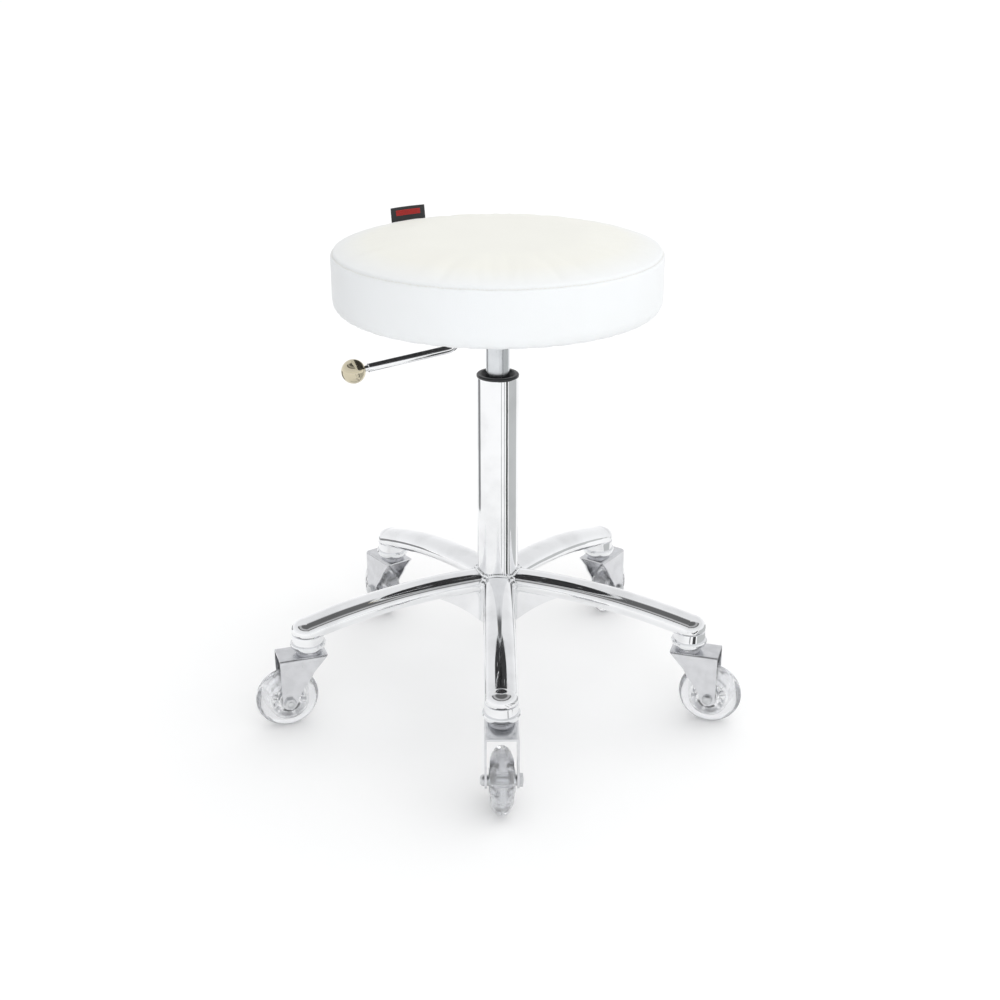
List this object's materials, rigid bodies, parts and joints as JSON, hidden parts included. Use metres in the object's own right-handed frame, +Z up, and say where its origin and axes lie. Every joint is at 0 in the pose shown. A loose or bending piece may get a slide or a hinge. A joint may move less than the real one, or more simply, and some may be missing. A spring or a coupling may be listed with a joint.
{
  "type": "dentist stool",
  "caption": "Round padded swivel stool with a gas-lift column and ball-knob lever on a chromed star base with clear twin-plate swivel castors.",
  "frame": {"origin": "on the floor, under the column's axis", "axes": "+Z up along the column; -Y along the front arm of the base, so +X is to the sitter's right when the stool is seen from -Y"},
  "size_m": [0.5886, 0.5608, 0.5815],
  "materials": {
    "chromed_steel": "polished",
    "plated_fork_steel": "satin",
    "zinc_plated_steel": "satin",
    "ground_steel": "gloss",
    "black_painted_steel": "satin",
    "black_nylon": "satin",
    "buffer_rubber": "matte",
    "seal_rubber": "matte",
    "clear_tyre": "gloss",
    "clear_hub": "gloss",
    "white_vinyl": "satin",
    "plywood": "matte",
    "black_dust_cloth": "matte",
    "black_label_weave": "matte"
  },
  "bodies": {
    "root": {"base_arm_front": "chromed_steel", "base_arm_front_left": "chromed_steel", "base_arm_back_left": "chromed_steel", "base_arm_back_right": "chromed_steel", "base_arm_front_right": "chromed_steel", "castor_sockets": "chromed_steel", "arm_gussets": "chromed_steel", "column_tube": "chromed_steel", "column_end_plate": "zinc_plated_steel", "guide_bushing": "black_nylon", "thrust_bearing": "ground_steel", "castor_stem_front": "chromed_steel", "castor_stem_front_left": "chromed_steel", "castor_stem_back_left": "chromed_steel", "castor_stem_back_right": "chromed_steel", "castor_stem_front_right": "chromed_steel"},
    "lift_rod": {"piston_rod": "ground_steel", "piston": "ground_steel", "retaining_clip": "zinc_plated_steel", "lift_buffer": "buffer_rubber"},
    "seat": {"gas_cylinder": "zinc_plated_steel", "cylinder_seal": "seal_rubber", "taper_socket": "black_painted_steel", "mechanism_housing": "black_painted_steel", "mount_plate": "black_painted_steel", "lever_pin": "zinc_plated_steel", "plate_screws": "zinc_plated_steel", "tee_nuts": "zinc_plated_steel", "seat_board": "plywood", "under_cover": "black_dust_cloth", "seat_cushion": "white_vinyl", "seat_label": "black_label_weave"},
    "lever": {"lever_rod": "chromed_steel", "lever_knob": "chromed_steel"},
    "valve": {"valve_button": "ground_steel"},
    "fork_front": {"fork_front": "plated_fork_steel", "axle_set_front": "zinc_plated_steel"},
    "wheel_front": {"tyre_front": "clear_tyre", "wheel_hub_front": "clear_hub", "wheel_bearings_front": "ground_steel"},
    "fork_front_left": {"fork_front_left": "plated_fork_steel", "axle_set_front_left": "zinc_plated_steel"},
    "wheel_front_left": {"tyre_front_left": "clear_tyre", "wheel_hub_front_left": "clear_hub", "wheel_bearings_front_left": "ground_steel"},
    "fork_back_left": {"fork_back_left": "plated_fork_steel", "axle_set_back_left": "zinc_plated_steel"},
    "wheel_back_left": {"tyre_back_left": "clear_tyre", "wheel_hub_back_left": "clear_hub", "wheel_bearings_back_left": "ground_steel"},
    "fork_back_right": {"fork_back_right": "plated_fork_steel", "axle_set_back_right": "zinc_plated_steel"},
    "wheel_back_right": {"tyre_back_right": "clear_tyre", "wheel_hub_back_right": "clear_hub", "wheel_bearings_back_right": "ground_steel"},
    "fork_front_right": {"fork_front_right": "plated_fork_steel", "axle_set_front_right": "zinc_plated_steel"},
    "wheel_front_right": {"tyre_front_right": "clear_tyre", "wheel_hub_front_right": "clear_hub", "wheel_bearings_front_right": "ground_steel"}
  },
  "joints": [
    {"name": "seat_swivel", "type": "hinge", "parent": "root", "child": "lift_rod", "pos_m": [0, 0, 0.114], "axis": [0, 0, 1], "continuous": true},
    {"name": "gas_lift", "type": "slide", "parent": "lift_rod", "child": "seat", "axis": [0, 0, 1], "range_m": [0, 0.19]},
    {"name": "lever_pull", "type": "hinge", "parent": "seat", "child": "lever", "pos_m": [-0.02719, -0.01268, 0.48213], "axis": [-0.4226, 0.9063, 0], "range_deg": [0, 4.77]},
    {"name": "valve_press", "type": "slide", "parent": "seat", "child": "valve", "axis": [0, 0, -1], "range_m": [0, 0.0025]},
    {"name": "castor_swivel_front", "type": "hinge", "parent": "root", "child": "fork_front", "pos_m": [0, -0.242, 0.095], "axis": [0, 0, 1], "continuous": true},
    {"name": "wheel_roll_front", "type": "hinge", "parent": "fork_front", "child": "wheel_front", "pos_m": [0, -0.271, 0.038], "axis": [1, 0, 0], "continuous": true},
    {"name": "castor_swivel_front_left", "type": "hinge", "parent": "root", "child": "fork_front_left", "pos_m": [-0.23016, -0.07478, 0.095], "axis": [0, 0, 1], "continuous": true},
    {"name": "wheel_roll_front_left", "type": "hinge", "parent": "fork_front_left", "child": "wheel_front_left", "pos_m": [-0.25774, -0.08374, 0.038], "axis": [0.309, -0.9511, 0], "continuous": true},
    {"name": "castor_swivel_back_left", "type": "hinge", "parent": "root", "child": "fork_back_left", "pos_m": [-0.14224, 0.19578, 0.095], "axis": [0, 0, 1], "continuous": true},
    {"name": "wheel_roll_back_left", "type": "hinge", "parent": "fork_back_left", "child": "wheel_back_left", "pos_m": [-0.15929, 0.21924, 0.038], "axis": [-0.809, -0.5878, 0], "continuous": true},
    {"name": "castor_swivel_back_right", "type": "hinge", "parent": "root", "child": "fork_back_right", "pos_m": [0.14224, 0.19578, 0.095], "axis": [0, 0, 1], "continuous": true},
    {"name": "wheel_roll_back_right", "type": "hinge", "parent": "fork_back_right", "child": "wheel_back_right", "pos_m": [0.15929, 0.21924, 0.038], "axis": [-0.809, 0.5878, 0], "continuous": true},
    {"name": "castor_swivel_front_right", "type": "hinge", "parent": "root", "child": "fork_front_right", "pos_m": [0.23016, -0.07478, 0.095], "axis": [0, 0, 1], "continuous": true},
    {"name": "wheel_roll_front_right", "type": "hinge", "parent": "fork_front_right", "child": "wheel_front_right", "pos_m": [0.25774, -0.08374, 0.038], "axis": [0.309, 0.9511, 0], "continuous": true}
  ],
  "couplings": [
    {"joint": "valve_press", "follows": "lever_pull", "m_per_rad": 0.03}
  ]
}
